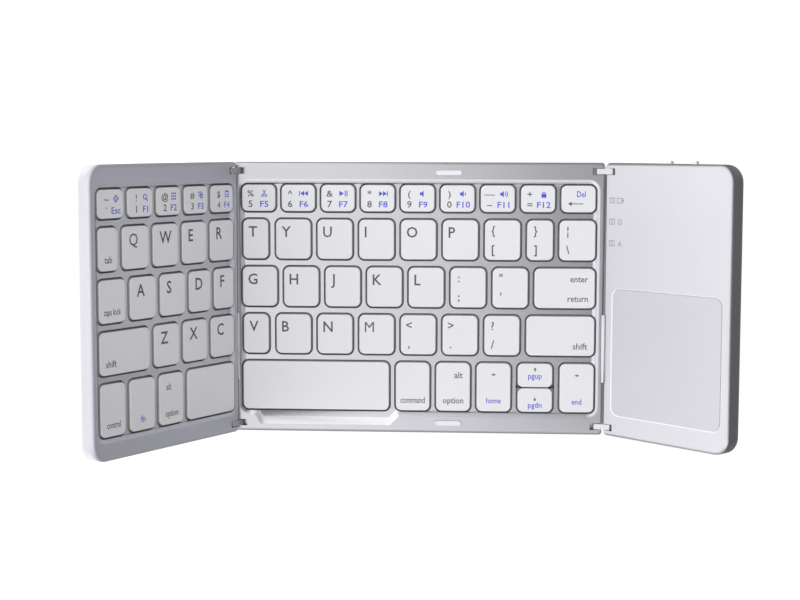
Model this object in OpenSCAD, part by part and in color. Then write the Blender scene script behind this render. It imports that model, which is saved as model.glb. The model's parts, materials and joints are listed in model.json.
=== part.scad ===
// Folding keyboard: a centre panel and two unequal flaps, joined by double-pivot links, so that both
// flaps fold over the keys. Millimetres, +Z up. The origin is on the table, under the centre panel's
// middle foot. +X runs along the rows towards the touch pad, +Y towards the number row.

/* [Panels] */
// Front-to-back depth of every panel
panel_d = 97.4; // [97:0.1:99]
// Width of the centre panel
centre_w = 132.2; // [131.8:0.1:133]
// Width of the flap that carries the left keys
left_w = 75; // [74.6:0.1:76]
// Width of the flap that carries the touch pad
right_w = 55.6; // [55:0.1:56]
// Thickness of a panel, without its feet
panel_t = 7; // [6.8:0.1:7.4]
// Plan radius of the outer corners
corner_r = 6; // [4:0.5:7]
// Rounding along the outer upper edges
top_round = 1.1; // [0.8:0.05:1.2]
// Rounding along the outer lower edges
bottom_round = 2.2; // [1.4:0.1:2.4]
// Depth of the key tray below the rims
tray_depth = 0.9; // [0.6:0.05:1]
// Height of the rubber feet below the panels
foot_h = 0.8; // [0.5:0.1:1.2]

/* [Fold] */
// How far the left flap is raised from flat
left_angle = 60.7; // [0:0.1:90]
// How far the left links are raised from flat
left_link_angle = 60.7; // [0:0.1:90]
// How far the right flap is raised from flat
right_angle = 45; // [0:0.5:90]
// How far the right links are raised from flat
right_link_angle = 18; // [0:0.5:90]

/* [Hinges] */
// Distance between the two pins of a link
link_l = 5; // [4.8:0.1:5.4]
// Distance of each pin from its panel's edge
pin_edge = 2.1; // [2:0.05:2.2]
// Depth of each pin below the rim
pin_depth = 1; // [0.96:0.01:1]
// Radius of a pin
pin_r = 0.45; // [0.4:0.01:0.5]
// Running clearance between a pin and its bore
pin_clear = 0.05; // [0.02:0.01:0.08]
// Width of an end link
link_w = 1.9; // [1.6:0.1:2]
// Distance of the end links from the panel's middle line
link_y = 45.6; // [45.4:0.1:45.8]
// Length of the slot for a link, from the panel's edge
slot_l = 4.2; // [4:0.1:4.6]
// Middle of the cable cover, front to back
cover_y = -17.5; // [-20:0.5:-12]
// Length of the cable cover
cover_l = 24.2; // [20:0.2:28]

/* [Keys] */
// Pitch of the letter keys
pitch = 15; // [14.9:0.05:15]
// Width of a letter key's opening, taken at the middle of its gap
letter_w = 13.17; // [12.8:0.01:13.2]
// Pitch of the number keys
number_pitch = 14.27; // [14.2:0.01:14.3]
// Width of a number key's opening, taken at the middle of its gap
number_w = 12.67; // [12.4:0.01:12.7]
// Gap around a keycap
key_gap = 0.7; // [0.5:0.05:0.8]
// Height of the keycaps above the tray
key_proud = 0.85; // [0.5:0.05:0.9]
// Travel of a key
key_travel = 1.2; // [0.8:0.1:1.2]
// Plan radius of a keycap's corners
key_r = 1.9; // [1.2:0.1:2.2]

/* [Touch pad] */
// Width of the touch pad
touch_w = 48.2; // [44:0.2:48.2]
// Depth of the touch pad
touch_d = 45; // [40:0.5:45]

/* [Hidden] */

eps = 0.01;
half_d = panel_d / 2;
half_w = centre_w / 2;
small_r = 0.3;
arc_steps = 7;
round_steps = 5;
rim_turn = 70;

// Levels above a panel's underside
split_z = 5;
tray_z = panel_t - tray_depth;
pin_z = panel_t - pin_depth;
floor_t = 1;
wall_t = 1.4;
hinge_wall_t = 1;
hinge_bottom_round = 0.8;
hinge_top_round = 0.5;
hinge_corner_r = 1;

// Hinge
link_r = pin_depth - 0.05;
slot_w = link_w + 0.45;
slot_floor_z = pin_z - link_r - 0.2;
block_w = 4.4;
pin_l = link_w + 2.4;
cover_half = 0.65;
notch_l = cover_l + 0.4;
knuckle_r = 1.7;
spine_half = 0.2;
spine_low = -link_r;
spine_high = -0.35;
ribbon_l = 20;
ribbon_t = 0.18;
cable_window = [2.6, 4.2];

// Rows of keys, from the number row to the space row: far edge and depth of each row's openings
row_top = [40.9, 28.5, 11.4, -5.7, -22.8];
row_d = [10.1, 14.8, 14.8, 14.8, 18.1];
tray_y = 42.9;
tray_slope = 2.6;
tray_r = 4.2;
tray_steps = 5;
rim_w = 1.25;
left_tray = [0.9, left_w - 1.4];
left_tray_slope = [1.6, 2.2];
field_x = 63.45;
relief_x = [-60, -4.4];
relief_y = [-40.4, -43.3, -46.1];
relief_slant = [3, 5.6];
relief_end = [2.4, 3.2];
relief_step = 0.15;

// Key bodies: the retaining flange seats under the deck, and the stem stands over its dome
flange_out = 0.95;
flange_t = 0.6;
flange_play = 0.05;
flange_z = split_z - flange_play;
stem_r = 1.6;
dome_z = 2.35;
stem_z = dome_z + key_travel + 0.05;
cap_chamfer = 0.2;
half_gap = key_gap / 2;

// Switch sheets
sheet_t = 0.5;
sheet_y = 42.3;
dome_r = 2.4;
dome_top_r = 1.5;

// Screws and their bosses
screw_y = 44.9;
boss_r = 1.9;
boss_z = 2.2;
screw_head_r = 1.5;
screw_head_z = 0.75;
screw_r = 0.75;
screw_end_z = 4.8;
screw_clear = 0.1;
cross_l = 1.8;
cross_w = 0.3;
cross_z = 0.4;
centre_screw_x = [-50, 0, 50];
left_screw_x = [10, 64];
right_screw_x = [10, 46.5];

// Feet and rim pads
foot_w = 5;
foot_l = 16;
foot_seat = 0.3;
foot_x = 48;
foot_y = 36;
left_foot_x = 52;
right_foot_x = 34;
pad_x = 11.1;
pad_y = 45;
pad_l = 9.2;
pad_w = 1.7;
pad_proud = 0.7;

// Inside and edges of the touch-pad flap, from its hinge edge outwards
touch_x = 3.7;
touch_y = -40.8;
touch_r = 3;
touch_sink = 0.15;
touch_gap = 0.08;
touch_lip = 0.4;
touch_flange = 0.9;
touch_carrier_t = 0.9;
plate_z = 5.8;
pocket_x = 2.7;
pocket_y = 41.9;
window_pocket = 1.5;
window_x = 3.1;
window_y = [35.5, 28, 20.4];
window_w = 1;
window_d = 1.3;
window_sink = 0.05;
window_flange = 0.4;
board_z = 1.8;
board_t = 0.8;
board_x = [4, 52];
board_y = [8, 42];
tab_x = [12.3, 44.2];
wall_gap = 0.2;
post_in = 4.5;
post_r = 1.5;
chip_at = [27.5, 27.5];
chip_size = [7, 7, 0.9];
charger_at = [10, 17];
charger_size = [6, 4, 0.8];
shield_at = [42, 22];
shield_size = [12, 12, 1.5];
cell_x = [7, 49];
cell_y = [-40, -5];
cell_r = 1.5;
cell_t = 2.6;
cell_step = 3.5;
socket_x = 16.3;
socket_w = 7.4;
socket_h = 2.3;
socket_d = 5.6;
socket_sink = 0.6;
socket_skin = 0.3;
tongue_w = 4.8;
tongue_t = 0.5;
power_x = 25.8;
mode_x = 36.8;
knob_w = 2.7;
knob_z = [3, 4.4];
knob_proud = 1;
knob_gap = 0.1;
knob_flange = 0.7;
switch_travel = 2;
switch_body_w = 4.4;
switch_body_z = split_z - 0.15;
switch_back_y = 42.8;
switch_front_y = half_d - wall_t - 1.1;

shell_c = [0.76, 0.76, 0.79];
key_c = [0.88, 0.88, 0.9];
rubber_c = [0.86, 0.86, 0.88];
dark_c = [0.2, 0.2, 0.22];
steel_c = [0.8, 0.8, 0.82];

// Outlines and slabs

function arc(cx, cy, r, a0) =
    [for (i = [0:arc_steps]) [cx + r * cos(a0 + 90 * i / arc_steps), cy + r * sin(a0 + 90 * i / arc_steps)]];

// Rectangle with one radius for the corners on its x0 side and another on its x1 side
function outline(x0, x1, y0, y1, r0, r1) = concat(
    arc(x1 - r1, y1 - r1, r1, 0), arc(x0 + r0, y1 - r0, r0, 90),
    arc(x0 + r0, y0 + r0, r0, 180), arc(x1 - r1, y0 + r1, r1, 270));

module plate(x0, x1, y0, y1, r, z0, z1) {
    translate([0, 0, z0]) linear_extrude(z1 - z0) polygon(outline(x0, x1, y0, y1, r, r));
}

module box(x0, x1, y0, y1, z0, z1) {
    translate([x0, y0, z0]) cube([x1 - x0, y1 - y0, z1 - z0]);
}

// One ring of a slab: the outline at height z, inset by in0 and in1 on its x sides and by in_y on the
// others
function ring(x0, x1, y0, y1, r0, r1, in0, in1, in_y, z) =
    [for (p = outline(x0 + in0, x1 - in1, y0 + in_y, y1 - in_y,
        max(r0 - in0, small_r), max(r1 - in1, small_r))) [p.x, p.y, z]];

// Solid through a stack of rings
module slab(rings) {
    n = len(rings[0]);
    m = len(rings);
    low = [for (i = [0:n - 1]) i];
    high = [for (i = [n - 1:-1:0]) (m - 1) * n + i];
    sides = [for (k = [0:m - 2]) for (i = [0:n - 1]) let (j = (i + 1) % n, a = k * n, b = a + n)
        each [[a + i, b + i, b + j], [a + i, b + j, a + j]]];
    polyhedron(points = [for (r = rings) each r], faces = concat([low, high], sides));
}

// Lower half of a panel's outer form, up to the split, with rounded lower edges
module lower_form(x0, x1, r0, r1, round0, round1) {
    slab(concat(
        [for (k = [0:round_steps]) let (a = 90 * k / round_steps, w = 1 - sin(a))
            ring(x0, x1, -half_d, half_d, r0, r1, round0 * w, round1 * w, bottom_round * w,
                bottom_round * (1 - cos(a)))],
        [ring(x0, x1, -half_d, half_d, r0, r1, 0, 0, 0, split_z)]));
}

// Upper half of a panel's outer form, from the split to the rim. Its edges round over, and meet the rim
// at a slight crease, because the arc stops at rim_turn
module upper_form(x0, x1, r0, r1, round0, round1) {
    slab(concat(
        [ring(x0, x1, -half_d, half_d, r0, r1, 0, 0, 0, split_z)],
        [for (k = [0:round_steps])
            let (a = rim_turn * k / round_steps, w = (1 - cos(a)) / (1 - cos(rim_turn)))
            ring(x0, x1, -half_d, half_d, r0, r1, round0 * w, round1 * w, top_round * w,
                panel_t - top_round * (1 - sin(a) / sin(rim_turn)))]));
}

// Convex solid round a list of corners
module corners(points) {
    hull() polyhedron(points = points, faces = [[for (i = [0:len(points) - 1]) i]]);
}

// Places

// A panel's own frame has z = 0 at its underside, and a flap's has x = 0 at its hinge edge, x outwards
module in_centre() { translate([0, 0, foot_h]) children(); }

// A link's own frame has its inner pin at the origin and its outer pin on +X
module in_link(angle) {
    translate([half_w - pin_edge, 0, foot_h + pin_z]) rotate([0, -angle, 0]) children();
}

module in_flap(angle, link_angle) {
    translate([half_w - pin_edge + link_l * cos(link_angle), 0, foot_h + pin_z + link_l * sin(link_angle)])
        rotate([0, -angle, 0]) translate([-pin_edge, 0, -pin_z]) children();
}

module in_left_link() { mirror([1, 0, 0]) in_link(left_link_angle) children(); }

module in_right_link() { in_link(right_link_angle) children(); }

module in_left() { mirror([1, 0, 0]) in_flap(left_angle, left_link_angle) children(); }

module in_right() { in_flap(right_angle, right_link_angle) children(); }

// Hinge cuts, for a hinge edge at x = 0 with the panel on its +X side

module hinge_cuts() {
    for (s = [-1, 1]) {
        box(-eps, slot_l, s * link_y - slot_w / 2, s * link_y + slot_w / 2, slot_floor_z, panel_t + eps);
        translate([pin_edge, s * link_y, pin_z]) rotate([90, 0, 0])
            cylinder(r = pin_r + pin_clear, h = pin_l + 2 * pin_clear, center = true, $fn = 32);
    }
    // The cover's notch leaves a knuckle that is round about the pins' axis
    difference() {
        box(-eps, pin_edge, cover_y - notch_l / 2, cover_y + notch_l / 2, slot_floor_z, panel_t + eps);
        translate([pin_edge, cover_y, pin_z]) rotate([90, 0, 0])
            cylinder(r = knuckle_r, h = notch_l + 1, center = true, $fn = 48);
        box(pin_edge - knuckle_r, pin_edge + 1, cover_y - notch_l, cover_y + notch_l, 0, pin_z);
    }
}

// Way for the ribbon cable through the lower shell's hinge wall
module ribbon_window() {
    box(-1, hinge_wall_t + 1, cover_y - ribbon_l / 2, cover_y + ribbon_l / 2, cable_window[0],
        cable_window[1]);
}

// Solid corner under a link's slot
module hinge_block() {
    for (s = [-1, 1])
        box(hinge_wall_t - eps, slot_l + 1, s * link_y - block_w / 2, s * link_y + block_w / 2,
            floor_t - eps, slot_floor_z);
}

// Screws and bosses

module at_screws(xs) { for (x = xs, s = [-1, 1]) translate([x, s * screw_y, 0]) children(); }

module base_bosses(xs) { at_screws(xs) cylinder(r = boss_r, h = boss_z, $fn = 32); }

module base_screw_holes(xs) {
    at_screws(xs) {
        translate([0, 0, -1]) cylinder(r = screw_r + screw_clear, h = boss_z + 2, $fn = 24);
        translate([0, 0, -1]) cylinder(r = screw_head_r + screw_clear, h = screw_head_z + 1, $fn = 32);
    }
}

module deck_bosses(xs) {
    at_screws(xs) translate([0, 0, boss_z]) cylinder(r = boss_r, h = split_z - boss_z + eps, $fn = 32);
}

module deck_screw_holes(xs) {
    at_screws(xs) translate([0, 0, boss_z - eps])
        cylinder(r = screw_r + screw_clear / 2, h = screw_end_z - boss_z + 0.2, $fn = 24);
}

module screws(xs) {
    at_screws(xs) difference() {
        union() {
            translate([0, 0, 0.05]) cylinder(r = screw_head_r, h = screw_head_z - 0.05, $fn = 32);
            translate([0, 0, screw_head_z - eps])
                cylinder(r = screw_r, h = screw_end_z - screw_head_z, $fn = 24);
        }
        for (a = [0, 90]) rotate([0, 0, a])
            box(-cross_l / 2, cross_l / 2, -cross_w / 2, cross_w / 2, 0, cross_z);
    }
}

// Feet

module foot(x, y, l, grow) {
    plate(x - l / 2 - grow, x + l / 2 + grow, y - foot_w / 2 - grow, y + foot_w / 2 + grow,
        foot_w / 2 + grow - eps, -foot_h, foot_seat);
}

module centre_foot_set(grow) {
    for (sx = [-1, 1], sy = [-1, 1]) foot(sx * foot_x, sy * foot_y, foot_l, grow);
    foot(0, 0, foot_w, grow);
}

module flap_foot_set(x, grow) { for (s = [-1, 1]) foot(x, s * foot_y, foot_l, grow); }

// Keys: an opening is [x0, x1, far y, near y], along the middle of its gap

function row_far(row) = row_top[row];
function row_near(row) = row_top[row] - row_d[row];
function key(x0, x1, row) = [x0, x1, row_far(row), row_near(row)];
function key_run(x0, w, step, count, row) =
    [for (i = [0:count - 1]) key(x0 + i * step, x0 + i * step + w, row)];

letters_x = -51.33;
row_mid = (row_far(4) + row_near(4)) / 2;

centre_numbers = key_run(-63.5, number_w, number_pitch, 8, 0);
backspace = [key(-63.5 + 8 * number_pitch, -63.5 + 8 * number_pitch + number_w, 0)];
t_opening = [key(-63.2, -53.45, 1)];
uppers = key_run(letters_x, letter_w, pitch, 6, 1);
brace = [key(38.65, 48.45, 1)];
pipe = [key(50.1, field_x, 1)];
homes = key_run(-63.5, letter_w, pitch, 7, 2);
enter = [key(41.4, field_x, 2)];
v_opening = [key(-63.2, -53.45, 3)];
lowers = key_run(letters_x, letter_w, pitch, 6, 3);
right_shift = [key(38.65, field_x, 3)];
right_space = [key(-63.5, -9.95, 4)];
command = [key(-8.1, 4.7, 4)];
right_option = [key(6.45, 19.25, 4)];
arrow_left = [key(21, 33.8, 4)];
arrow_updown = [key(35.7, 48.7, 4)];
arrow_right = [key(50.7, field_x, 4)];

centre_openings = concat(centre_numbers, backspace, t_opening, uppers, brace, pipe, homes, enter, v_opening,
    lowers, right_shift, right_space, command, right_option, arrow_left, arrow_updown, arrow_right);

// Left flap, x outwards from the hinge edge
left_x = 2.05;
left_field = 71.7;
left_numbers = key_run(left_x, number_w, number_pitch, 5, 0);
left_uppers = key_run(left_x, letter_w, pitch, 4, 1);
tab = [key(62.1, left_field, 1)];
left_homes = [key(left_x, 13.25, 2), key(15.1, 26.8, 2), key(28.65, 41.85, 2), key(43.7, 56.9, 2)];
caps = [key(58.75, left_field, 2)];
left_lowers = key_run(left_x, letter_w, pitch, 3, 3);
left_shift = [key(47.1, left_field, 3)];
left_space = [key(left_x, 28.3, 4)];
left_option = [key(30.1, 43, 4)];
fn_opening = [key(44.8, 57.6, 4)];
control = [key(59.4, left_field, 4)];

left_openings = concat(left_numbers, left_uppers, tab, left_homes, caps, left_lowers, left_shift, left_space,
    left_option, fn_opening, control);

module key_holes(openings) {
    for (k = openings)
        plate(k[0] - half_gap, k[1] + half_gap, k[3] - half_gap, k[2] + half_gap, key_r + key_gap,
            split_z - eps, panel_t + eps);
}

// Keycap with chamfered top edges; the flange keeps it in and the stem presses the dome
module key_body(x0, x1, far, near, far_flange = flange_out, near_flange = flange_out) {
    top = tray_z + key_proud;
    low = flange_z - flange_t;
    c = cap_chamfer;
    color(key_c) union() {
        intersection() {
            plate(x0, x1, near, far, key_r, low, top);
            translate([0, far + 1, 0]) rotate([90, 0, 0]) linear_extrude(far - near + 2)
                polygon([[x0, low], [x1, low], [x1, top - c], [x1 - c, top], [x0 + c, top], [x0, top - c]]);
            translate([x0 - 1, 0, 0]) rotate([90, 0, 90]) linear_extrude(x1 - x0 + 2)
                polygon([[near, low], [far, low], [far, top - c], [far - c, top], [near + c, top],
                    [near, top - c]]);
        }
        plate(x0 - flange_out, x1 + flange_out, near - near_flange, far + far_flange, key_r, low, flange_z);
        translate([(x0 + x1) / 2, (near + far) / 2, stem_z])
            cylinder(r = stem_r, h = low - stem_z + eps, $fn = 32);
    }
}

module keys(openings) {
    for (k = openings) key_body(k[0] + half_gap, k[1] - half_gap, k[2] - half_gap, k[3] + half_gap);
}

module domes(openings) {
    for (k = openings) translate([(k[0] + k[1]) / 2, (k[2] + k[3]) / 2, floor_t + sheet_t - eps])
        cylinder(r1 = dome_r, r2 = dome_top_r, h = dome_z - floor_t - sheet_t + eps, $fn = 32);
}

// The two vertical arrows share one opening, so each keeps its flange off the shared side
module arrow_half(upper) {
    k = arrow_updown[0];
    gap = 0.5;
    far = upper ? k[2] - half_gap : row_mid - gap / 2;
    near = upper ? row_mid + gap / 2 : k[3] + half_gap;
    key_body(k[0] + half_gap, k[1] - half_gap, far, near, upper ? flange_out : 0, upper ? 0 : flange_out);
}

function arrow_domes() = let (k = arrow_updown[0])
    [[k[0], k[1], k[2] - half_gap, row_mid + 0.25], [k[0], k[1], row_mid - 0.25, k[3] + half_gap]];

// Centre panel

module both_edges() {
    translate([-half_w, 0, 0]) children();
    mirror([1, 0, 0]) translate([-half_w, 0, 0]) children();
}

module centre_base() {
    in_centre() color(shell_c) difference() {
        union() {
            difference() {
                lower_form(-half_w, half_w, hinge_corner_r, hinge_corner_r, hinge_bottom_round,
                    hinge_bottom_round);
                plate(-half_w + hinge_wall_t, half_w - hinge_wall_t, -half_d + wall_t, half_d - wall_t, 1,
                    floor_t, split_z + 1);
            }
            both_edges() hinge_block();
            base_bosses(centre_screw_x);
        }
        both_edges() hinge_cuts();
        both_edges() ribbon_window();
        base_screw_holes(centre_screw_x);
        translate([0, 0, eps]) centre_foot_set(0.05);
    }
}

module centre_deck() {
    in_centre() color(shell_c) difference() {
        union() {
            upper_form(-half_w, half_w, hinge_corner_r, hinge_corner_r, hinge_top_round, hinge_top_round);
            deck_bosses(centre_screw_x);
        }
        tray(-half_w + rim_w, half_w - rim_w, tray_slope, tray_slope);
        thumb_relief();
        key_holes(centre_openings);
        both_edges() hinge_cuts();
        deck_screw_holes(centre_screw_x);
        for (s = [-1, 1]) rim_pad(s, 0.05);
    }
}

// Sunken floor of the keys. Its sides rise in a soft S, each over its own width
module tray(x0, x1, slope0, slope1) {
    slab([for (k = [0:tray_steps]) let (t = k / tray_steps, s = 1 - t, lift = (1 - cos(180 * t)) / 2)
        ring(x0, x1, -tray_y, tray_y, tray_r, tray_r, slope0 * s, slope1 * s, tray_slope * s,
            tray_z + lift * tray_depth + (k == tray_steps ? eps : 0))]);
}

// Ramp in the front rim that lets the thumbs reach the space key. Both its ends slant outwards
module thumb_relief() {
    low = panel_t - relief_step;
    above = panel_t + 1;
    e = relief_end;
    far_x = relief_x;
    near_x = [relief_x[0] + relief_slant[0], relief_x[1] - relief_slant[1]];
    mid_x = far_x + (near_x - far_x) * (relief_y[1] - relief_y[0]) / (relief_y[2] - relief_y[0]);
    corners([[far_x[0] + e[0], relief_y[0], tray_z], [far_x[1] - e[1], relief_y[0], tray_z],
        [mid_x[0] + e[0], relief_y[1], tray_z], [mid_x[1] - e[1], relief_y[1], tray_z],
        [near_x[0] + e[0], relief_y[2], low], [near_x[1] - e[1], relief_y[2], low],
        [far_x[0], relief_y[0], panel_t], [far_x[1], relief_y[0], panel_t],
        [near_x[0], relief_y[2], panel_t], [near_x[1], relief_y[2], panel_t],
        [far_x[0], relief_y[0], above], [far_x[1], relief_y[0], above],
        [near_x[0], relief_y[2], above], [near_x[1], relief_y[2], above]]);
}

module centre_switch_sheet() {
    in_centre() color(dark_c) {
        plate(-field_x, field_x, -sheet_y, sheet_y, 2, floor_t, floor_t + sheet_t);
        domes([for (k = centre_openings) if (k != arrow_updown[0]) k]);
        domes(arrow_domes());
    }
}

module rim_pad(s, grow) {
    plate(pad_x - pad_l / 2 - grow, pad_x + pad_l / 2 + grow, s * pad_y - pad_w / 2 - grow,
        s * pad_y + pad_w / 2 + grow, pad_w / 2 + grow - eps, panel_t - 0.5, panel_t + pad_proud);
}

module rim_pads() { in_centre() color(rubber_c) for (s = [-1, 1]) rim_pad(s, 0); }

module centre_feet() { in_centre() color(dark_c) centre_foot_set(0); }

module centre_screws() { in_centre() color(steel_c) screws(centre_screw_x); }

// Links

// Two end links tied by a thin spine that lies in the fold's gap
module link_frame() {
    color(steel_c) difference() {
        union() {
            for (s = [-1, 1]) translate([0, s * link_y + link_w / 2, 0]) rotate([90, 0, 0]) {
                cylinder(r = link_r, h = link_w, $fn = 48);
                translate([link_l, 0, 0]) cylinder(r = link_r, h = link_w, $fn = 48);
                translate([0, -link_r, 0]) cube([link_l, 2 * link_r, link_w]);
            }
            box(link_l / 2 - spine_half, link_l / 2 + spine_half, -link_y, link_y, spine_low, spine_high);
        }
        for (x = [0, link_l]) translate([x, 0, 0]) rotate([90, 0, 0])
            cylinder(r = pin_r, h = 2 * half_d, center = true, $fn = 32);
    }
}

module link_pins() {
    color([0.6, 0.6, 0.62]) for (x = [0, link_l], s = [-1, 1])
        translate([x, s * link_y, 0]) rotate([90, 0, 0])
            cylinder(r = pin_r, h = pin_l, center = true, $fn = 32);
}

// Cover over the ribbon cable, with rounded long edges, a groove for the spine and a channel below
module cable_cover() {
    edge_r = 0.35;
    color(shell_c) translate([link_l / 2, cover_y + cover_l / 2, 0]) rotate([90, 0, 0])
        linear_extrude(cover_l) difference() {
            polygon(concat(arc(cover_half - edge_r, link_r - edge_r, edge_r, 0),
                arc(-cover_half + edge_r, link_r - edge_r, edge_r, 90),
                [[-cover_half, spine_low + 0.3], [cover_half, spine_low + 0.3]]));
            translate([-spine_half, spine_low - eps]) square([2 * spine_half, spine_high - spine_low + eps]);
        }
}

module ribbon() {
    color([0.55, 0.35, 0.15]) for (s = [-1, 1])
        box(link_l / 2 + (s < 0 ? -cover_half : spine_half), link_l / 2 + (s < 0 ? -spine_half : cover_half),
            cover_y - ribbon_l / 2, cover_y + ribbon_l / 2, spine_low + 0.3 - ribbon_t, spine_low + 0.3);
}

module left_hinge_links() { in_left_link() link_frame(); }
module left_hinge_pins() { in_left_link() link_pins(); }
module left_cable_cover() { in_left_link() cable_cover(); }
module left_ribbon() { in_left_link() ribbon(); }
module right_hinge_links() { in_right_link() link_frame(); }
module right_hinge_pins() { in_right_link() link_pins(); }
module right_cable_cover() { in_right_link() cable_cover(); }
module right_ribbon() { in_right_link() ribbon(); }

// Flaps

module flap_base(w, xs, foot_x) {
    color(shell_c) difference() {
        union() {
            difference() {
                lower_form(0, w, hinge_corner_r, corner_r, hinge_bottom_round, bottom_round);
                translate([0, 0, floor_t]) linear_extrude(split_z)
                    polygon(outline(hinge_wall_t, w - wall_t, -half_d + wall_t, half_d - wall_t,
                        hinge_corner_r, corner_r - wall_t));
            }
            hinge_block();
            base_bosses(xs);
        }
        hinge_cuts();
        ribbon_window();
        base_screw_holes(xs);
        translate([0, 0, eps]) flap_foot_set(foot_x, 0.05);
    }
}

module left_base() { in_left() flap_base(left_w, left_screw_x, left_foot_x); }

module left_deck() {
    in_left() color(shell_c) difference() {
        union() {
            upper_form(0, left_w, hinge_corner_r, corner_r, hinge_top_round, top_round);
            deck_bosses(left_screw_x);
        }
        tray(left_tray[0], left_tray[1], left_tray_slope[0], left_tray_slope[1]);
        key_holes(left_openings);
        hinge_cuts();
        deck_screw_holes(left_screw_x);
    }
}

module left_switch_sheet() {
    in_left() color(dark_c) {
        plate(hinge_wall_t + 0.3, left_field + 0.5, -sheet_y, sheet_y, 1, floor_t, floor_t + sheet_t);
        domes(left_openings);
    }
}

module left_feet() { in_left() color(dark_c) flap_foot_set(left_foot_x, 0); }
module left_screws() { in_left() color(steel_c) screws(left_screw_x); }

// Touch-pad flap

module right_base() {
    in_right() color(shell_c) {
        difference() {
            flap_base(right_w, right_screw_x, right_foot_x);
            box(socket_x - socket_w / 2, socket_x + socket_w / 2, half_d - wall_t - 1, half_d + 1,
                board_z + board_t, board_z + board_t + socket_h);
            for (x = [power_x, mode_x])
                box(x - knob_w / 2 - knob_gap, x + knob_w / 2 + switch_travel + knob_gap,
                    half_d - wall_t - 1, half_d + 1, knob_z[0] - knob_gap, knob_z[1] + knob_gap);
        }
        for (x = [board_x[0] + post_in, board_x[1] - post_in],
                y = [board_y[0] + post_in, board_y[1] - post_in])
            translate([x, y, floor_t - eps]) cylinder(r = post_r, h = board_z - floor_t + eps, $fn = 24);
    }
}

module right_deck() {
    in_right() color(shell_c) difference() {
        union() {
            upper_form(0, right_w, hinge_corner_r, corner_r, hinge_top_round, top_round);
            deck_bosses(right_screw_x);
        }
        box(pocket_x, right_w - wall_t, -pocket_y, pocket_y, split_z - 1, plate_z);
        box(window_x - window_pocket, pocket_x + 1, window_y[2] - window_pocket, window_y[0] + window_pocket,
            split_z - 1, plate_z);
        plate(touch_x, touch_x + touch_w, touch_y, touch_y + touch_d, touch_r, split_z, panel_t + 1);
        slab([for (w = [touch_lip, 0]) ring(touch_x - touch_lip, touch_x + touch_w + touch_lip,
            touch_y - touch_lip, touch_y + touch_d + touch_lip, touch_r + touch_lip, touch_r + touch_lip,
            w, w, w, panel_t - w + eps)]);
        hinge_cuts();
        deck_screw_holes(right_screw_x);
        for (y = window_y) window_prism(y, 0, plate_z - 1, panel_t + 1);
    }
}

module window_prism(y, grow, z0, z1) {
    plate(window_x - window_w / 2 - grow, window_x + window_w / 2 + grow, y - window_d / 2 - grow,
        y + window_d / 2 + grow, small_r + grow, z0, z1);
}

module indicator_windows() {
    in_right() color([0.92, 0.92, 0.85]) for (y = window_y) {
        window_prism(y, 0, plate_z - eps, panel_t - window_sink);
        window_prism(y, window_flange, plate_z - window_flange, plate_z);
    }
}

module touch_pad() {
    g = touch_gap;
    in_right() color([0.85, 0.85, 0.88]) union() {
        plate(touch_x + g, touch_x + touch_w - g, touch_y + g, touch_y + touch_d - g, touch_r - g,
            plate_z - eps, panel_t - touch_sink);
        plate(touch_x - touch_flange, touch_x + touch_w + touch_flange, touch_y - touch_flange,
            touch_y + touch_d + touch_flange, touch_r, plate_z - touch_carrier_t, plate_z);
    }
}

// Board on posts, with the controller, the charging circuit, the shielded radio and the switch bodies
module main_board() {
    top = board_z + board_t;
    in_right() {
        color([0.1, 0.4, 0.25]) {
            box(board_x[0], board_x[1], board_y[0], board_y[1], board_z, top);
            box(tab_x[0], tab_x[1], board_y[1] - eps, half_d - wall_t - wall_gap, board_z, top);
        }
        color(dark_c) {
            chip(chip_at, chip_size);
            chip(charger_at, charger_size);
            for (x = [power_x, mode_x])
                box(x - switch_body_w / 2, x + switch_body_w / 2 + switch_travel, switch_back_y,
                    switch_front_y, top - eps, switch_body_z);
        }
        color(steel_c) chip(shield_at, shield_size);
    }
}

// Component on top of the board, centred at a place on it
module chip(at, size) {
    translate([at.x - size.x / 2, at.y - size.y / 2, board_z + board_t - eps]) cube(size);
}

// Flat cell with a stepped end for its protection circuit
module battery() {
    in_right() color([0.65, 0.66, 0.68]) difference() {
        plate(cell_x[0], cell_x[1], cell_y[0], cell_y[1], cell_r, floor_t, floor_t + cell_t);
        box(cell_x[0] - 1, cell_x[1] + 1, cell_y[1] - cell_step, cell_y[1] + 1, floor_t + cell_t / 2,
            panel_t);
    }
}

module charge_socket() {
    z0 = board_z + board_t;
    z1 = z0 + socket_h;
    y = half_d - socket_sink;
    w = socket_w / 2;
    t = socket_skin;
    in_right() color(steel_c) {
        difference() {
            box(socket_x - w, socket_x + w, y - socket_d, y, z0, z1);
            box(socket_x - w + t, socket_x + w - t, y - socket_d + 2 * t, y + 1, z0 + t, z1 - t);
        }
        box(socket_x - tongue_w / 2, socket_x + tongue_w / 2, y - socket_d + t, y - 1,
            (z0 + z1 - tongue_t) / 2, (z0 + z1 + tongue_t) / 2);
    }
}

// Slider: the knob stands out of its slot, and its flange runs between the wall and the switch body
module slider(x) {
    half = knob_w / 2;
    in_right() color([0.93, 0.93, 0.95]) {
        box(x - half, x + half, switch_front_y + knob_gap, half_d + knob_proud, knob_z[0], knob_z[1]);
        box(x - half - knob_flange, x + half + knob_flange, switch_front_y + knob_gap,
            half_d - wall_t - knob_gap, knob_z[0] - knob_flange / 2, knob_z[1] + knob_flange / 2);
    }
}

module power_switch() { slider(power_x); }
module mode_switch() { slider(mode_x); }
module right_feet() { in_right() color(dark_c) flap_foot_set(right_foot_x, 0); }
module right_screws() { in_right() color(steel_c) screws(right_screw_x); }

// Key nodes

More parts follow.
